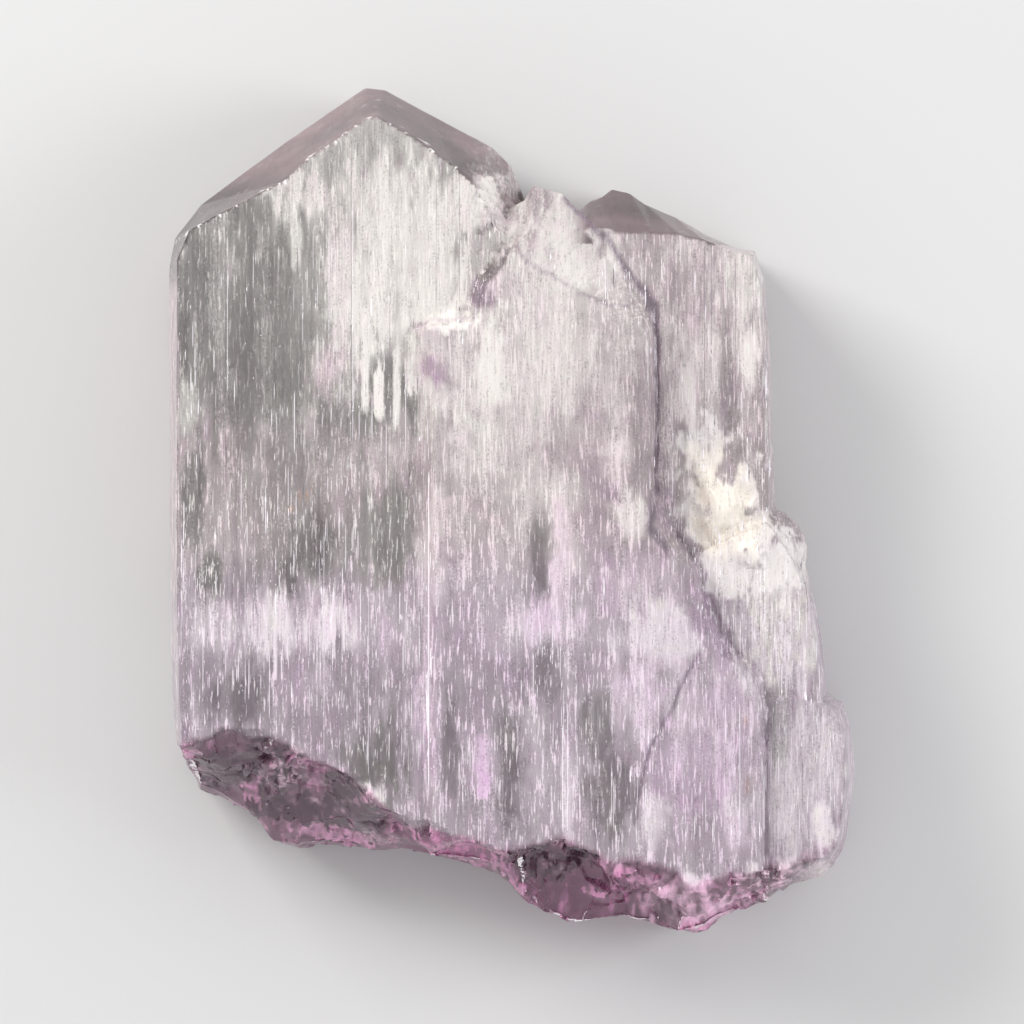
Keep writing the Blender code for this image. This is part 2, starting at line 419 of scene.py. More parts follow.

# %% [markdown]
# Where the crystal is clear, silky or lilac
#
# The eye tells a crystal's zones apart: clear windows that show the grey beneath, silky veils that scatter
# white light, and colour that deepens towards the foot. They are laid over each other like washes of paint,
# each a ragged oval that pulls the skin towards its own silk (0 clear, 1 white) and lilac. Straight fingers
# of silk along the length come on top, and three short wide ones under the main crystal's lip are a painted
# highlight. The fine grain inside all of them is left to the shader.

# %% Washes of silk and lilac
WASHES = [
    # centre x, y, half width, half length, silk, lilac
    (-18.0, 24.0, 20.0, 22.0, 0.40, 0.06), (3.0, 14.0, 13.0, 20.0, 0.62, 0.18),
    (19.5, 16.0, 6.5, 16.0, 0.56, 0.28), (-13.0, 36.5, 10.0, 4.5, 0.46, 0.06),
    (-20.5, 30.8, 4.6, 3.4, 0.70, 0.14), (-13.0, 31.0, 6.0, 4.5, 0.66, 0.06),
    (-10.6, 25.0, 6.2, 9.5, 0.73, 0.02), (-8.0, 22.0, 3.5, 4.5, 0.78, 0.02),
    (-4.0, 30.6, 3.0, 3.0, 0.74, 0.10), (-1.8, 25.6, 2.6, 3.2, 0.52, 0.12),
    (-24.0, 19.0, 6.2, 13.5, 0.20, 0.00), (-29.6, 20.0, 1.8, 12.0, 0.26, 0.06),
    (-31.8, 17.0, 1.7, 13.0, 0.20, 0.08), (-32.2, 10.0, 1.4, 3.2, 0.50, 0.02),
    (-27.0, 12.0, 3.0, 5.0, 0.16, 0.12), (-20.8, 24.0, 1.0, 4.4, 0.34, 0.04),
    (-16.9, 23.0, 1.7, 8.5, 0.66, 0.20), (-14.8, 19.6, 1.8, 6.0, 0.76, 0.04),
    (-18.2, 14.4, 1.8, 3.2, 0.58, 0.36), (-16.0, 9.2, 4.2, 2.4, 0.20, 0.04),
    (-11.8, 12.2, 2.6, 3.6, 0.14, 0.00), (-7.6, 14.6, 3.6, 3.2, 0.62, 0.24),
    (-7.6, 14.2, 1.6, 1.5, 0.42, 0.66), (-8.4, 18.0, 2.4, 1.0, 0.60, 0.30),
    (-2.7, 21.6, 1.7, 1.7, 0.30, 0.62), (-0.6, 22.4, 2.0, 1.8, 0.60, 0.36),
    (5.6, 27.2, 4.4, 4.6, 0.62, 0.14), (8.4, 23.6, 3.0, 2.0, 0.72, 0.08),
    (-2.0, 14.6, 2.0, 4.6, 0.86, 0.06), (10.8, 16.0, 2.6, 6.0, 0.52, 0.20),
    (12.6, 10.0, 1.8, 7.0, 0.42, 0.36), (7.6, 6.6, 5.0, 5.0, 0.46, 0.36),
    (10.4, 5.4, 2.0, 2.6, 0.72, 0.26), (17.3, 11.4, 1.0, 4.0, 0.86, 0.16),
    (23.6, 15.4, 1.0, 3.4, 0.90, 0.08), (21.6, 12.0, 1.2, 7.0, 0.36, 0.36),
    (23.4, 23.0, 2.0, 4.0, 0.62, 0.14), (17.6, 21.0, 3.2, 4.0, 0.44, 0.34),
    (-20.0, 6.4, 11.0, 2.6, 0.26, 0.20), (-13.0, 5.6, 7.0, 1.8, 0.46, 0.34),
    (-20.0, -2.0, 14.0, 8.0, 0.30, 0.20), (-28.0, -1.4, 3.4, 4.6, 0.42, 0.30),
    (-31.6, 1.6, 1.8, 6.0, 0.18, 0.10), (-30.0, -6.6, 1.6, 2.4, 0.16, 0.08),
    (-19.6, -3.4, 2.6, 3.8, 0.15, 0.10), (-22.2, -7.2, 1.6, 2.4, 0.12, 0.10),
    (-16.6, 1.4, 2.6, 2.6, 0.38, 0.36), (-12.0, -2.2, 2.8, 5.8, 0.20, 0.02),
    (-7.8, -4.0, 2.2, 9.0, 0.60, 0.28), (-2.6, -4.0, 3.8, 8.0, 0.48, 0.30),
    (2.6, -3.8, 1.0, 5.0, 0.20, 0.24), (4.9, -3.0, 1.5, 6.0, 0.76, 0.40),
    (8.6, -3.0, 2.4, 8.0, 0.42, 0.46), (12.0, -0.6, 2.1, 2.6, 0.78, 0.12),
    (14.6, 0.6, 1.5, 2.2, 0.38, 0.52), (12.6, -7.0, 4.6, 4.4, 0.54, 0.42),
    (-18.0, -12.0, 15.0, 4.6, 0.50, 0.36), (-4.0, -12.0, 6.0, 4.0, 0.46, 0.34),
    (3.4, -10.8, 3.4, 2.6, 0.70, 0.40), (-29.2, -11.6, 2.8, 2.8, 0.56, 0.22),
    (-23.4, -12.2, 2.6, 4.6, 0.72, 0.18), (-17.4, -11.6, 2.6, 3.6, 0.76, 0.16),
    (-20.0, -17.6, 13.0, 4.4, 0.36, 0.30), (-27.4, -18.4, 3.6, 3.2, 0.20, 0.22),
    (-20.4, -17.6, 3.4, 2.8, 0.46, 0.32), (-2.0, -17.4, 6.0, 4.0, 0.36, 0.36),
    (-19.0, -21.6, 3.0, 3.0, 0.34, 0.36), (-13.2, -25.6, 3.2, 6.4, 0.13, 0.06),
    (-8.3, -19.0, 1.5, 10.0, 0.58, 0.40), (-6.2, -23.0, 0.9, 5.0, 0.20, 0.24),
    (-2.9, -25.0, 1.2, 3.2, 0.66, 0.62), (-0.4, -24.6, 1.3, 6.0, 0.16, 0.14),
    (2.4, -24.6, 1.4, 6.0, 0.50, 0.26), (3.6, -15.6, 1.6, 3.0, 0.24, 0.22),
    (8.4, -20.4, 2.0, 3.4, 0.20, 0.14), (9.8, -28.2, 2.8, 4.4, 0.17, 0.16),
    (5.6, -27.0, 1.0, 6.0, 0.62, 0.28), (15.4, -12.2, 5.0, 3.4, 0.74, 0.16),
    (13.0, -18.0, 3.0, 4.6, 0.64, 0.36), (17.6, -19.4, 1.4, 4.4, 0.70, 0.30),
    (20.4, -21.6, 4.4, 8.0, 0.50, 0.44), (17.6, -26.6, 4.4, 4.4, 0.50, 0.46),
    (22.2, -30.6, 1.4, 3.4, 0.64, 0.32), (14.2, -31.0, 1.6, 3.4, 0.70, 0.20),
    (18.8, -8.6, 1.7, 4.6, 0.42, 0.46), (20.6, -12.8, 1.4, 2.8, 0.42, 0.44),
    (26.4, -12.0, 4.8, 7.0, 0.62, 0.10), (29.4, -27.0, 5.4, 9.6, 0.53, 0.22),
    (31.0, -31.2, 1.3, 2.4, 0.80, 0.04), (26.6, -20.4, 1.3, 4.4, 0.44, 0.12),
    (28.4, -36.2, 6.6, 1.9, 0.90, 0.04), (17.0, -39.0, 6.6, 3.0, 1.15, 0.30),
    (-22.6, -25.4, 2.6, 2.6, 1.00, 0.10), (7.0, -38.8, 5.0, 3.0, 0.70, 0.50),
    (-15.4, -28.4, 3.4, 1.6, 0.70, 0.10),
]
FINGERS = [
    # x, low y, high y, half width, silk, lilac
    (-21.4, 24.6, 28.5, 0.55, 0.66, 0.05), (-17.0, 16.6, 26.0, 0.95, 0.66, 0.20),
    (-14.5, 10.0, 20.0, 0.50, 0.86, 0.02), (-13.3, 9.6, 13.6, 0.55, 1.10, 0.00),
    (-11.4, 9.0, 16.0, 0.40, 0.84, 0.02), (-9.9, 12.0, 17.6, 0.45, 0.76, 0.05),
    # (-6.6, 18.8), (-5.2, 19.0) and (-7.8, 18.6) are a painted highlight: the bright white patch on the chip
    # under the main crystal's lip.
    (-6.6, 18.8, 19.2, 1.20, 1.20, 0.00), (-5.2, 19.0, 20.2, 1.30, 1.20, 0.00),
    (-7.8, 18.6, 18.9, 0.70, 1.10, 0.10), (-2.4, 31.0, 32.6, 0.90, 1.20, 0.00),
    (-2.9, -27.6, -22.6, 0.80, 0.78, 0.62), (-24.3, -14.2, -9.4, 0.20, 0.95, 0.20),
    (-23.4, -16.0, -8.6, 0.22, 1.00, 0.16), (-22.2, -14.2, -10.2, 0.20, 0.95, 0.20),
    (-18.6, -13.2, -9.2, 0.20, 0.95, 0.20), (-17.6, -14.4, -8.2, 0.22, 1.05, 0.14),
    (-16.7, -13.0, -9.6, 0.20, 0.95, 0.18), (-29.6, -13.2, -10.4, 0.20, 0.90, 0.22),
    (-27.9, -12.6, -10.0, 0.18, 0.90, 0.20), (-20.4, -12.6, -10.6, 0.18, 0.85, 0.20),
]


def wash(points, places, seed, cell, first):
    """Paints each ragged oval over the last and returns the two painted numbers."""
    shift = grain(points, cell, seed, 3) * 0.55 + grain(points, (0.5, 1.6, 9.0), seed + 5, 3) * 0.52
    painted = np.tile(np.array(first, dtype=float), (len(points), 1))
    for *oval, first_number, second_number in places:
        cover = (1 - smooth(away_from(points, *oval) + shift, 0.62, 1.12))[:, None]
        painted += (np.array((first_number, second_number)) - painted) * cover
    return painted[:, 0], painted[:, 1]


print(len(WASHES), "washes and", len(FINGERS), "fingers of silk")

# %% [markdown]
# Silk and lilac of every point
#
# The washes are painted in the order of their table, and the fingers go over them. The back, the chipped
# shoulders and the thin left rim have silk of their own, and the lilac deepens towards the foot. Cloudy
# noise keeps any wash from having one flat value.

# %% Silk and lilac
FIRST_WASH = (0.42, 0.34)
BACK_SILK = 0.60
CHIPPED_SILK = 0.72
RIM_X = -33.1
RIM_Y = (-22.0, 27.0)
RIM_SILK = 0.52
RIM_LILAC = 0.34
FOOT_LILAC = 0.12

points, normals = mesh_arrays(crystal)
kinds = surfaces(points, normals)
facet, broken = kinds["facet"], kinds["broken"]
clouds = grain(points, (2.4, 4.0, 2.4), 61, 4)
fleck = grain(points, (0.5, 1.1, 0.6), 63, 3)
silk, lilac = wash(points, WASHES, 41, (1.0, 6.0, 9.0), FIRST_WASH)
back = smooth(-normals[:, 2], -0.3, 0.5) * (1 - broken)
silk += back * (BACK_SILK - silk) + clouds * 0.10 + grain(points, (0.7, 16.0, 5.0), 65, 2) * 0.10
for x, low, high, half_width, grade, colour in FINGERS:
    finger = (near_line(points, [(x, low), (x, high)], half_width * 1.25) > 0.25) & (normals[:, 2] > 0.3)
    silk = np.where(finger, np.maximum(silk, grade), silk)
    lilac = np.where(finger, colour, lilac)
silk = np.maximum(silk, CHIPPED_SILK * kinds["chipped"] * smooth(clouds, -0.3, 0.1))
rim = (points[:, 0] < RIM_X) & (points[:, 1] > RIM_Y[0]) & (points[:, 1] < RIM_Y[1])
silk = np.where(rim, RIM_SILK + clouds * 0.2, silk)
lilac = np.where(rim, RIM_LILAC, lilac + FOOT_LILAC * smooth(-points[:, 1], -2.0, 12.0))
lilac = np.clip(lilac - clouds * 0.10 + fleck * 0.25, 0, 1)
print("silk from", silk.min().round(2), "to", silk.max().round(2))

# %% [markdown]
# The end facets and the break
#
# The end facets are greyer at the left tip and milkier towards the apex. In the break each shell or chip has
# its own tone: some are nearly black glass, a painted dark reflection, and others are clear pink or milky.
# Washes set where the painted dark reflection goes and where the pink is deep, and fine stripes along the
# length break them up.

# %% Facets and break
BAND_FOOT = [(-34, 26.8), (-22.7, 32.6), (-13.7, 39.2), (-1.0, 31.2)]
APEX_X = (-13.6, -12.6)
BREAK_FIRST_WASH = (0.10, 0.55)
BREAK_WASHES = [
    # centre x, y, half width, half length, painted darkness, depth of pink
    (-24.0, -32.4, 7.0, 2.2, 0.00, 0.45), (-6.0, -32.6, 6.0, 3.0, 0.05, 0.90),
    (7.0, -38.0, 8.0, 4.0, 0.10, 1.00), (18.0, -39.6, 6.0, 3.0, 0.00, 0.50),
    (28.0, -36.4, 7.0, 3.0, 0.00, 0.05), (-29.0, -25.8, 4.2, 2.0, 0.95, 0.20),
    (-25.0, -23.4, 4.2, 1.6, 0.70, 0.40), (-21.0, -29.4, 6.0, 1.7, 0.90, 0.30),
    (-15.0, -30.4, 3.8, 1.7, 1.00, 0.20), (-16.6, -26.8, 2.2, 2.2, 0.70, 0.30),
    (-22.8, -26.4, 2.6, 2.0, 0.30, 0.10), (3.4, -34.6, 4.0, 2.6, 0.90, 0.50),
    (8.0, -33.4, 2.4, 1.2, 0.80, 0.50), (14.4, -34.6, 3.6, 1.2, 0.60, 0.70),
    (-12.0, -28.4, 1.2, 3.4, 0.30, 0.80),
]

along_band = points[:, 1] - np.interp(points[:, 0], *zip(*BAND_FOOT))
slope = smooth(points[:, 0], -32.0, -22.0) * 0.42 + smooth(along_band, 1.6, 3.4) * 0.22
slope -= smooth(points[:, 0], *APEX_X) * 0.14
slope += grain(points, (7.0, 2.0, 5.0), 69, 3) * 0.26 - 0.03

shade = np.where(crumbled_part(points) > 0.5, plates(points, *CRUMBS)[1], scoops(points, 5)[1])
# The darkness set here is a painted dark reflection: nearly black glass in the break.
dark, pink = wash(points, BREAK_WASHES, 49, (1.6, 1.6, 9.0), BREAK_FIRST_WASH)
stripes = grain(points, (0.45, 3.0, 1.2), 85, 2)
dark = smooth(dark + (shade - 0.5) * 0.55 + fleck * 0.3 + stripes * 0.5, 0.42, 0.50)
break_milk = (0.16 + silk * 0.42 + (shade - 0.5) * 0.75 + (fleck + stripes) * 0.45) * (1 - dark * 0.95)
print("dark part of the break", (dark * broken).mean().round(3), "of all points")

# %% [markdown]
# Notches, painted glints, rust and the granular patch
#
# The notches and the healed crack are lilac, with painted shade darkening the notches, and the one that
# bounds the middle crystal is the deepest. Painted highlights sparkle on the bevel's lower edge in a few
# places, the granular patch is chalky with cream parts, and a fine crack and three specks hold rust. They all
# go into one number, the level: how much silk covers the glass.

# %% Marks and the level of silk
# The notch lines carry lilac darkened by painted shade, as in a groove between crystals.
LILAC_AND_SHADE_WIDTHS = (0.30, 0.60, 0.40)
LILAC_AND_SHADE_GRADES = (0.40, 0.80, 0.25)
CRACK_LILAC_WIDTH = 0.36
CRACK_LILAC_GRADE = 0.75
GLINT_WIDTH = 0.4
RUST_WIDTH = 0.3
RUST_LINE = [(-22.0, 0.3), (-21.2, 0.8), (-20.9, 1.6), (-20.2, 1.5), (-19.8, 2.1)]
RUST_PLACES = [(23.1, -20.8, 0.4, 0.6, 0.4), (23.3, -27.0, 0.35, 1.1, 0.4), (24.0, -25.9, 0.3, 0.5, 0.3)]
WARM_PLACES = [(20.0, 3.4, 2.8, 3.8, 1.0), (21.4, -0.6, 3.6, 4.2, 0.9)]
CALM_PLACES = [(5.6, 26.5, 5.5, 6.0, 0.70), (29.0, -27.0, 6.0, 11.0, 0.60), (20.4, -21.6, 5.0, 9.0, 0.50),
               (12.6, -7.0, 5.0, 5.0, 0.45), (19.5, 18.0, 5.0, 8.0, 0.35), (5.0, 11.0, 9.0, 8.0, 0.40),
               (-8.0, 6.0, 6.0, 3.0, 0.40), (-24.0, 19.0, 6.0, 13.0, 0.30), (-12.0, 39.0, 9.0, 4.0, 0.60)]
# Lines along which painted highlights sparkle: the bevel's lower edge, the apex ridge and two short cross
# lines.
GLINT_LINES = [
    [(-34.2, 26.8), (-31.9, 27.8), (-29.9, 28.9), (-22.7, 32.6), (-20.5, 34.6), (-13.7, 39.2), (-9.6, 36.9),
     (-5.7, 34.1)],
    [(-13.2, 42.4), (-13.7, 39.2)], [(-33.0, -11.9), (-29.6, -11.6)], [(-9.8, -11.7), (-2.0, -11.5)],
]

wander = wandering(points)
lines = [near_line(wander, line, width) * grade
         for line, width, grade in zip(STEP_LINES, LILAC_AND_SHADE_WIDTHS, LILAC_AND_SHADE_GRADES)]
lines.append(near_line(wander, CRACK_LINE, CRACK_LILAC_WIDTH) * CRACK_LILAC_GRADE)
# Notch mask: lilac colour with painted shade, which also thins the silk there.
notch = np.max(lines, axis=0) * smooth(normals[:, 2], 0.0, 0.4) * 0.8
edge = np.max([near_line(wander, line, GLINT_WIDTH) for line in GLINT_LINES], axis=0)
# Painted highlight: white dots along those lines, raised to full silk.
painted_glint = smooth(fleck, 0.27, 0.39) * smooth(edge, 0.2, 0.6)
rust = np.maximum(near_line(wander, RUST_LINE, RUST_WIDTH), patches(points, RUST_PLACES, 0.4, 77))
chalk = kinds["granular"] + grain(points, (0.7, 0.9, 0.7), 75, 3) * 0.6 + clouds * 0.3
chalk = smooth(chalk, 0.05, 0.95)
warm = patches(points, WARM_PLACES, 0.7, 79, (1.0, 1.6, 9.0))

level = silk * (1 - facet) * (1 - notch * 0.6) + facet * slope
level += broken * (1.05 * break_milk - 0.25 - level)
level = np.max([level, painted_glint, chalk * 0.95, rust * 0.8], axis=0)
busy = 0.62 + 0.38 * smooth(-points[:, 1], -9.0, 6.0) * (1 - 0.5 * smooth(points[:, 0], 19.0, 25.0))
busy *= (1 - facet) * (1 - broken) * (1 - patches(points, CALM_PLACES, 0.5, 73))
print("level from", level.min().round(2), "to", level.max().round(2))

# %% [markdown]
# Two colours for every point
#
# Each point gets the colour of its glass, seen through, and the colour of its silk, seen by scattered light.
# Both start nearly white and turn lilac, and the other kinds of surface are blended over them. Mesh colours
# hold the result, so that the shader only has to read them.

# %% Colours of glass and silk
CLEAR_GLASS = (0.965, 0.960, 0.925)
LILAC_GLASS = (0.86, 0.54, 0.76)
PALE_SHELLS = (0.93, 0.58, 0.77), (0.98, 0.88, 0.93)
DEEP_SHELLS = (0.90, 0.34, 0.62), (0.96, 0.66, 0.84)
# Nearly black glass for the painted dark reflection in the break.
PAINTED_DARK_SHELL = (0.0012, 0.0005, 0.0006)
FACET_GLASSES = (0.14, 0.085, 0.085), (0.42, 0.275, 0.285)
# Notch glass: lilac darkened by painted shade.
NOTCH_LILAC_AND_SHADE_GLASS = (0.46, 0.32, 0.44)
CREAM_SILK = (0.450, 0.425, 0.400)
PINKISH_SILKS = (0.445, 0.372, 0.384), (0.432, 0.368, 0.408)
LILAC_SILK = (0.42, 0.26, 0.40)
FACET_SILK = (0.195, 0.135, 0.142)
BREAK_SILKS = (0.68, 0.41, 0.545), (0.67, 0.22, 0.44)
# Notch silk: lilac darkened by painted shade.
NOTCH_LILAC_AND_SHADE_SILK = (0.28, 0.19, 0.27)
CHALKS = (0.435, 0.405, 0.395), (0.515, 0.468, 0.412)
# White of the painted highlights along the bevel edge.
PAINTED_GLINT_WHITE = (0.60, 0.585, 0.585)
RUST = (0.30, 0.15, 0.08)


def mix(first, second, factor):
    """Blends two colours, point by point."""
    factor = np.clip(factor, 0, 1)[:, None]
    return np.asarray(first) * (1 - factor) + np.asarray(second) * factor


def store(piece, name, *numbers):
    """Writes up to four numbers per vertex to the mesh, as one colour."""
    attribute = piece.data.attributes.new(name, "FLOAT_COLOR", "POINT")
    packed = np.zeros((len(piece.data.vertices), 4), dtype=np.float32)
    for channel, values in enumerate(numbers):
        packed[:, channel] = values
    attribute.data.foreach_set("color", packed.ravel())


glass = mix(CLEAR_GLASS, LILAC_GLASS, lilac)
pale_shell = mix(*PALE_SHELLS, smooth(shade, 0.3, 0.9))
deep_shell = mix(*DEEP_SHELLS, smooth(shade, 0.2, 0.9))
shell = mix(mix(pale_shell, deep_shell, pink), PAINTED_DARK_SHELL, dark)
glass = mix(glass, shell, smooth(broken, 0.3, 0.6))
glass = mix(glass, mix(*FACET_GLASSES, smooth(slope, 0.0, 0.45)), facet)
glass = mix(glass, NOTCH_LILAC_AND_SHADE_GLASS, notch)

white = mix(CREAM_SILK, mix(*PINKISH_SILKS, smooth(-points[:, 1], 0.0, 12.0)), smooth(lilac, 0.0, 0.4))
white = mix(white, LILAC_SILK, smooth(lilac, 0.30, 1.0))
white = mix(white, FACET_SILK, facet)
white = mix(white, mix(*BREAK_SILKS, pink), broken * (1.1 - silk * 0.5))
white = mix(white, NOTCH_LILAC_AND_SHADE_SILK, notch)
white = mix(white, mix(*CHALKS, warm), chalk)
white = mix(white, PAINTED_GLINT_WHITE, painted_glint)
white = mix(white, RUST, rust)

store(crystal, "glass", *glass.T)
store(crystal, "white", *white.T)
store(crystal, "zones", np.clip(level, -0.3, 1.2), busy, broken, facet)
print("glass", glass.mean(axis=0).round(2), "silk", white.mean(axis=0).round(2))

# %% [markdown]
# Shader maths as plain expressions
#
# A small class wraps a node socket, so that adding or multiplying two of them adds the Math node for it.
# Everything else goes through one method that makes a node from its type, its settings and its inputs.

# %% Sockets and nodes
class Field:
    """A shader socket that can be used in sums."""

    def __init__(self, paint, socket):
        self.paint = paint
        self.socket = socket

    def __add__(self, other):
        return self.paint.math("ADD", self, other)

    def __mul__(self, other):
        return self.paint.math("MULTIPLY", self, other)

    def __sub__(self, other):
        return self.paint.math("SUBTRACT", self, other)

    def __rsub__(self, other):
        return self.paint.math("SUBTRACT", other, self)

    __radd__ = __add__
    __rmul__ = __mul__


class Paint:
    """Builds the nodes of one material."""

    def __init__(self, name):
        self.material = bpy.data.materials.new(name)
        self.material.use_nodes = True
        self.tree = self.material.node_tree
        self.tree.nodes.clear()

    def node(self, kind, settings=None, inputs=None, output=0):
        """Makes a node, sets its settings, then its input values or links."""
        made = self.tree.nodes.new(kind)
        for name, value in (settings or {}).items():
            setattr(made, name, value)
        for name, value in (inputs or {}).items():
            if isinstance(value, Field):
                self.tree.links.new(value.socket, made.inputs[name])
            else:
                made.inputs[name].default_value = value
        return Field(self, made.outputs[output])

    def math(self, operation, first, second):
        """Works out one sum of two numbers."""
        return self.node("ShaderNodeMath", {"operation": operation}, {0: first, 1: second})

    def ramp(self, value, low, high, start=0.0, end=1.0):
        """Runs smoothly from start to end as value goes from low to high."""
        return self.node("ShaderNodeMapRange", {"interpolation_type": "SMOOTHSTEP"},
                         {"Value": value, "From Min": low, "From Max": high, "To Min": start, "To Max": end})

    def stored(self, name):
        """The colour stored on the mesh under this name."""
        return self.node("ShaderNodeAttribute", {"attribute_name": name}, None, "Color")

    def stored_numbers(self, name):
        """The four numbers stored on the mesh under this name."""
        colour = self.stored(name)
        parts = self.node("ShaderNodeSeparateColor", None, {"Color": colour}).socket.node.outputs
        return [Field(self, part) for part in parts] + [Field(self, colour.socket.node.outputs["Alpha"])]

    def position(self, scale):
        """Object coordinates, scaled along each axis."""
        where = self.node("ShaderNodeTexCoord", None, None, "Object")
        return self.node("ShaderNodeVectorMath", {"operation": "MULTIPLY"}, {0: where, 1: scale})

    def noise(self, cell, detail, roughness):
        """Noise with the given cell in millimetres along each axis."""
        where = self.position(tuple(1 / (size * MM) for size in cell))
        return self.node("ShaderNodeTexNoise", None,
                         {"Vector": where, "Scale": 1.0, "Detail": detail, "Roughness": roughness}, "Fac")

    def axes(self):
        """Object coordinates in millimetres as three numbers."""
        where = self.position((1 / MM, 1 / MM, 1 / MM))
        parts = self.node("ShaderNodeSeparateXYZ", None, {"Vector": where}).socket.node.outputs
        return [Field(self, part) for part in parts]

    def columns(self, place, width, length):
        """A random number for each narrow column along the crystal, broken into slanting lengths."""
        counts = (1 / width, 1 / length, 0)
        cells = self.node("ShaderNodeVectorMath", {"operation": "MULTIPLY"}, {0: place, 1: counts})
        cells = self.node("ShaderNodeVectorMath", {"operation": "FLOOR"}, {0: cells})
        return self.node("ShaderNodeTexWhiteNoise", {"noise_dimensions": "2D"}, {"Vector": cells}, "Value")

    def finish(self, surface, volume=None):
        """Links the finish to the output and returns the material."""
        output = self.tree.nodes.new("ShaderNodeOutputMaterial")
        self.tree.links.new(surface.socket, output.inputs["Surface"])
        if volume:
            self.tree.links.new(volume.socket, output.inputs["Volume"])
        return self.material


# %% [markdown]
# The crystal's finish
#
# Two finishes share the surface. One is clear glass with spodumene's refraction, lilac by its own colour and
# by plain absorption in the volume. The other is the silky white of light scattered by hollow tubes and tiny
# cleavage cracks just under the face. The level decides which one shows, and where it is busy, fine columns
# and streaks along the length break it up. Cells and columns are in millimetres.

# %% Kunzite
SPODUMENE_IOR = 1.66
ABSORPTION_COLOUR = (0.90, 0.80, 0.86, 1.0)
ABSORPTION_DENSITY = 9.0
COLUMN_SLANT = 7.3
STREAK_CELL = (0.20, 2.2, 1.0)
MOTTLE_CELL = (1.1, 2.2, 1.1)
GRIT_CELL = (0.19, 0.24, 0.22)
FINE_COLUMN = (0.13, 3.4)
MIDDLING_COLUMN = (0.37, 9.0)
BROAD_COLUMN = (1.15, 15.0)
MEAN_OF_LINES = 0.865
DEEPEST_LINE = 0.10
BUMP_HEIGHT = 0.14 * MM


def kunzite():
    """The material of the crystal: glass and silk, mixed by the numbers stored on the mesh."""
    paint = Paint("kunzite_grown")
    level, busy, broken, facet = paint.stored_numbers("zones")
    x, y, z = paint.axes()
    across = x + z
    place = paint.node("ShaderNodeCombineXYZ", None, {"X": across, "Y": y + across * COLUMN_SLANT})

    streak = paint.noise(STREAK_CELL, 2.0, 0.62)
    mottle = paint.noise(MOTTLE_CELL, 2.0, 0.66)
    grit = paint.noise(GRIT_CELL, 1.0, 0.7)
    fine = paint.columns(place, *FINE_COLUMN)
    middling = paint.columns(place, *MIDDLING_COLUMN)
    broad = paint.columns(place, *BROAD_COLUMN)

    crisp = paint.ramp(level + mottle * 1.3 + streak * 0.6 - 0.95, 0.40, 0.64)
    bright = paint.ramp(streak, 0.55, 0.68)
    lines = fine * 0.26 + middling * 0.22 + broad * 0.16 + bright * 0.60 + grit * 0.75
    shown = level + ((crisp - level) * 0.20 + lines - MEAN_OF_LINES) * busy
    shown = paint.math("MAXIMUM", shown, level - DEEPEST_LINE)
    milk = paint.ramp(shown, -0.25, 0.80)
    dense = paint.ramp(shown, 0.10, 1.20, 1.0, 1.50)
    pitted = paint.ramp(streak * 0.6 + grit * 0.4, 0.36, 0.45, 0.72, 1.0)
    silk_colour = paint.node("ShaderNodeVectorMath", {"operation": "SCALE"},
                             {0: paint.stored("white"), "Scale": dense * pitted})
    bump = paint.node("ShaderNodeBump", None, {
        "Strength": 0.40 - facet * 0.36, "Distance": BUMP_HEIGHT, "Height": streak})

    glass = paint.node("ShaderNodeBsdfPrincipled", None, {
        "Base Color": paint.stored("glass"), "Roughness": 0.05, "IOR": SPODUMENE_IOR,
        "Transmission Weight": 1.0, "Normal": bump})
    silky = paint.node("ShaderNodeBsdfPrincipled", None, {
        "Base Color": silk_colour, "Roughness": 0.42 - broken * 0.32, "IOR": SPODUMENE_IOR, "Normal": bump})
    surface = paint.node("ShaderNodeMixShader", None, {0: milk, 1: glass, 2: silky})
    volume = paint.node("ShaderNodeVolumeAbsorption", None, {
        "Color": ABSORPTION_COLOUR, "Density": ABSORPTION_DENSITY})
    return paint.finish(surface, volume)


crystal.data.materials.clear()
crystal.data.materials.append(kunzite())
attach(crystal, "root")
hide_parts("kunzite_crystal")
print("kunzite material has", len(crystal.data.materials[0].node_tree.nodes), "nodes")

# %% [markdown]
# Growth tubes inside
#
# Spodumene grows with fine hollow tubes and small cleavage cracks that run along its length. They sit inside
# the clear glass, and in the windows they show as thin white threads at different depths. Each is a long
# closed prism, and a few are flat slivers. They are one mesh, well inside the skin.

# %% Tubes and slivers
TUBE_COUNT = 420
TUBE_SIZES = (0.05, 0.11), (0.05, 0.11), (1.5, 12.0)
SLIVER_COUNT = 70
SLIVER_SIZES = (0.25, 0.9), (0.03, 0.05), (1.0, 5.0)
TUBE_ROOM = [(-31.5, 24.0, -19.0, 24.0), (-8.0, 12.0, -28.0, 18.0), (12.0, 23.0, -24.0, 20.0)]
TUBE_HEIGHTS = (4.0, 14.5)
LEFT_ROOM_TO_X = -8.0
LEAN = 0.012
WHITE_ROUGHNESS = 0.4


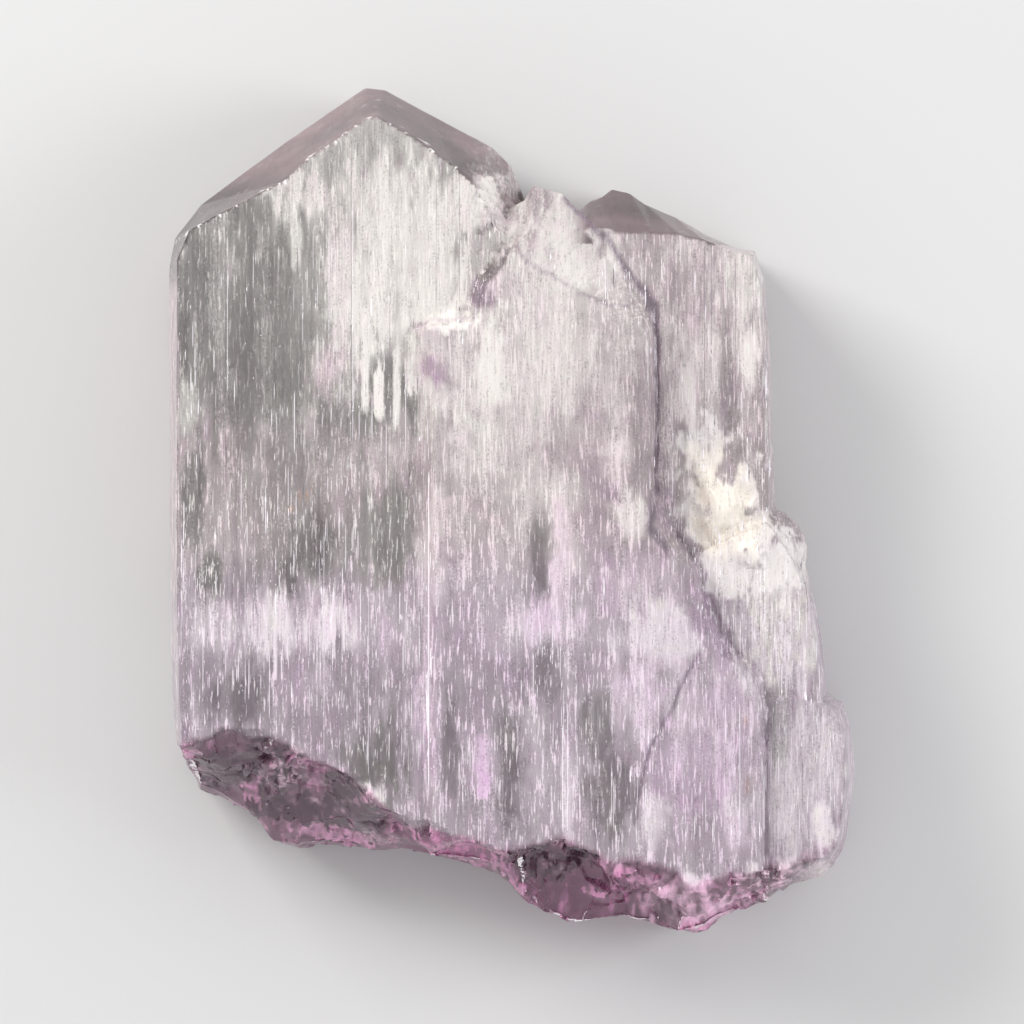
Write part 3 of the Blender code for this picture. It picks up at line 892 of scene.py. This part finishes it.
def long_prisms(random, count, widths, thicknesses, lengths):
    """Corners and faces of closed prisms that run along Y, each in one of the rooms."""
    corners = []
    faces = []
    for index in range(count):
        low_x, high_x, low_y, high_y = TUBE_ROOM[index % 3 if index % 4 else 0]
        high_x = min(high_x, LEFT_ROOM_TO_X) if index % 3 == 0 else high_x
        place = np.array([random.uniform(low_x, high_x), random.uniform(low_y, high_y),
                          random.uniform(*TUBE_HEIGHTS)])
        half = np.array([random.uniform(*widths), random.uniform(*lengths), random.uniform(*thicknesses)]) / 2
        lean = random.normal(0, LEAN)
        first = len(corners)
        for end in (-1, 1):
            for side_x, side_z in ((-1, 0), (0, -1), (1, 0), (0, 1)):
                shift = (side_x * half[0] + lean * end * half[1], end * half[1], side_z * half[2])
                corners.append(place + shift)
        faces.append([first + step for step in (0, 1, 2, 3)])
        faces.append([first + step for step in (7, 6, 5, 4)])
        for step in range(4):
            after = (step + 1) % 4
            faces.append([first + step, first + 4 + step, first + 4 + after, first + after])
    return corners, faces


def plain_finish(name, colour, roughness):
    """A material of one colour."""
    paint = Paint(name)
    inputs = {"Base Color": colour, "Roughness": roughness}
    return paint.finish(paint.node("ShaderNodeBsdfPrincipled", None, inputs))


def closed_piece(name, corners, faces, material):
    """A mesh object from corners in millimetres, with all faces turned outwards."""
    mesh = bpy.data.meshes.new(name)
    mesh.from_pydata([tuple(np.array(corner) * MM) for corner in corners], [], faces)
    piece = bpy.data.objects.new(name, mesh)
    bpy.context.collection.objects.link(piece)
    only(piece)
    bpy.ops.object.mode_set(mode="EDIT")
    bpy.ops.mesh.select_all(action="SELECT")
    bpy.ops.mesh.normals_make_consistent(inside=False)
    bpy.ops.object.mode_set(mode="OBJECT")
    mesh.materials.append(material)
    return piece


random = np.random.default_rng(91)
corners, faces = long_prisms(random, TUBE_COUNT, *TUBE_SIZES)
more_corners, more_faces = long_prisms(random, SLIVER_COUNT, *SLIVER_SIZES)
faces += [[corner + len(corners) for corner in face] for face in more_faces]
corners += more_corners
tube_white = plain_finish("tube_white", (0.86, 0.82, 0.84, 1.0), WHITE_ROUGHNESS)
tubes = closed_piece("growth_tubes", corners, faces, tube_white)
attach(tubes, "root")
print("tubes have", len(tubes.data.polygons), "faces")

# %% [markdown]
# Growth lines on the faces
#
# The faces carry a few long straight growth lines and many short etched dashes, most of them silky white and
# some dark. Two long white lines along the middle crystal's left step are a painted highlight, where that
# step catches light. They are narrower than the skin's cells, so each is a thin strip of its own that follows
# the skin: rays sent straight down find the height at each place, and the strip stands a hair above it.

# %% Strips that follow the skin
LONG_LINES = [
    # x, low y, high y, width, bright
    (-33.1, -12.0, 26.0, 0.10, False), (-31.1, -6.0, 24.0, 0.08, False),
    (-28.3, -9.0, 28.0, 0.09, False), (-28.15, 12.0, 24.0, 0.12, True), (-20.7, 16.6, 21.6, 0.11, True),
    (-18.1, 17.0, 28.0, 0.12, True), (-15.9, 7.0, 37.0, 0.12, False), (-15.75, 7.0, 31.0, 0.12, True),
    (-7.5, 20.0, 33.6, 0.09, False), (-5.2, 19.8, 33.0, 0.09, False), (9.2, 19.0, 25.4, 0.13, True),
    (19.1, 9.0, 26.4, 0.13, False), (19.8, 13.0, 26.4, 0.12, False), (22.2, 8.0, 26.0, 0.11, False),
    # (-8.2, ...) and (-7.3, ...) are a painted highlight: the white band where the middle crystal's left step
    # catches light.
    (-8.2, -28.0, 4.0, 0.16, True), (-7.3, -29.0, -9.0, 0.22, True), (0.9, -31.0, -13.0, 0.14, True),
    (2.1, -30.0, -14.0, 0.16, True), (5.0, -31.5, -21.0, 0.20, True), (5.5, -31.5, -19.0, 0.16, True),
    (8.5, -31.0, -19.0, 0.11, True), (22.5, -33.0, -19.0, 0.14, True),
    (-24.0, -20.4, -14.0, 0.14, True), (-14.2, -26.0, -8.0, 0.10, True), (4.4, -9.0, 3.0, 0.26, True),
    (-0.7, -30.0, -16.0, 0.12, False), (6.6, -31.0, -15.0, 0.12, False),
    (-18.6, -24.0, -2.0, 0.10, True), (12.4, -29.0, -10.0, 0.10, True),
    (-26.4, -19.0, -3.0, 0.09, True),
]
LINE_PIECES = [
    (True, "growth_lines", (0.80, 0.755, 0.79, 1.0)),
    (False, "dark_lines", (0.15, 0.125, 0.14, 1.0)),
]
DASH_COUNT = 2800
BRIGHT_PART = 0.90
SHORT_PART = 0.40
FREE_OF_BREAK = 2.5
STRIP_STEP = 0.5
STRIP_TIP = 0.35
STRIP_UNDER = 0.03
STRIP_OVER = 0.014
LOWEST_SKIN = 12.0
TOP_MARGIN = 0.02
RAYS_FROM = 50.0


def strip(tree, x, low, high, width):
    """Corners and faces of a closed strip along Y that follows the skin, or None where there is no skin."""
    count = max(2, int((high - low) / STRIP_STEP))
    corners = []
    for y in np.linspace(low, high, count + 1):
        place = tree.ray_cast(Vector((x * MM, y * MM, RAYS_FROM * MM)), Vector((0, 0, -1)))[0]
        if place is None or place.z / MM < LOWEST_SKIN:
            return None
        height = min(place.z / MM, HIGH[2] - TOP_MARGIN)
        narrowed = width * (STRIP_TIP if y in (low, high) else 1.0) / 2
        corners += [(x - narrowed, y, height - STRIP_UNDER), (x + narrowed, y, height - STRIP_UNDER),
                    (x, y, height + STRIP_OVER)]
    faces = [(0, 1, 2), (3 * count + 2, 3 * count + 1, 3 * count)]
    for first in range(0, 3 * count, 3):
        for side in range(3):
            after = (side + 1) % 3
            faces.append((first + side, first + 3 + side, first + 3 + after, first + after))
    return corners, faces


tree = BVHTree.FromObject(crystal, bpy.context.evaluated_depsgraph_get())
random = np.random.default_rng(93)
strips = list(LONG_LINES)
for count in range(DASH_COUNT):
    x = random.uniform(-33.0, 32.0)
    y = random.uniform(-33.0, 25.0) if count % 3 else random.uniform(-33.0, 0.0)
    if y > break_edge(x) + FREE_OF_BREAK:
        short = random.random() < SHORT_PART
        length = random.uniform(0.10, 0.26) if short else random.exponential(1.1) + 0.3
        strips.append((x, y, y + length, random.uniform(0.08, 0.20), random.random() < BRIGHT_PART))
corners = {True: [], False: []}
faces = {True: [], False: []}
for x, low, high, width, bright in strips:
    made = strip(tree, x, low, high, width)
    if made:
        faces[bright] += [tuple(corner + len(corners[bright]) for corner in face) for face in made[1]]
        corners[bright] += made[0]
for bright, name, colour in LINE_PIECES:
    line_finish = plain_finish(name, colour, WHITE_ROUGHNESS)
    line_piece = closed_piece(name, corners[bright], faces[bright], line_finish)
    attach(line_piece, "root")
    print(name, "has", len(line_piece.data.polygons), "faces")

# %% [markdown]
# Floor, light and camera
#
# A plain pale floor reaches past the picture on all sides. Two large soft lamps graze the faces from the
# upper left and the right, so that the grooves show, and the sky is an even pale grey. The camera looks
# straight down, with the crystal's length up the picture, through a long lens from far off.

# %% Studio
FLOOR_SIZE = 3.0
FLOOR_COLOUR = (0.56, 0.555, 0.55, 1.0)
FLOOR_ROUGHNESS = 0.9
SKY_COLOUR = (0.92, 0.93, 0.95, 1.0)
SKY_STRENGTH = 0.92
VIEW_WIDTH = 0.1024
LENS = 300.0
SENSOR = 36.0

bpy.ops.object.select_all(action="DESELECT")
bpy.ops.mesh.primitive_plane_add(size=FLOOR_SIZE, location=(0, 0, 0))
floor = bpy.context.object
floor.name = "floor"
floor.data.transform(floor.matrix_world)
floor.data.materials.append(plain_finish("floor_paper", FLOOR_COLOUR, FLOOR_ROUGHNESS))


def soft_lamp(name, place, size, power, colour):
    """A rectangular lamp at this place, turned towards the origin."""
    bpy.ops.object.light_add(type="AREA", location=place)
    lamp = bpy.context.object
    lamp.name = name
    lamp.data.shape = "RECTANGLE"
    lamp.data.size = size[0]
    lamp.data.size_y = size[1]
    lamp.data.energy = power
    lamp.data.color = colour
    lamp.rotation_euler = (-Vector(place)).to_track_quat("-Z", "Y").to_euler()


soft_lamp("upper_left_lamp", (-0.42, 0.34, 0.36), (0.30, 0.30), 3.4, (1.0, 0.985, 0.96))
soft_lamp("right_lamp", (0.50, 0.05, 0.26), (0.22, 0.40), 1.6, (0.96, 0.97, 1.0))

world = bpy.data.worlds.new("studio_sky")
bpy.context.scene.world = world
world.use_nodes = True
world.node_tree.nodes["Background"].inputs["Color"].default_value = SKY_COLOUR
world.node_tree.nodes["Background"].inputs["Strength"].default_value = SKY_STRENGTH

camera_height = VIEW_WIDTH * LENS / SENSOR + HIGH[2] * MM * 0.5
bpy.ops.object.camera_add(location=(0, 0, camera_height), rotation=(0, 0, 0))
camera = bpy.context.object
camera.name = "camera"
camera.data.lens = LENS
camera.data.sensor_width = SENSOR
camera.data.clip_start = 0.01
bpy.context.scene.camera = camera
bpy.context.scene.view_settings.view_transform = "Standard"
bpy.context.scene.cycles.max_bounces = 6
bpy.context.scene.cycles.diffuse_bounces = 2
bpy.context.scene.cycles.glossy_bounces = 2
bpy.context.scene.cycles.transmission_bounces = 5
bpy.context.scene.cycles.caustics_reflective = False
print("camera is", round(camera.location.z, 3), "m above the floor")
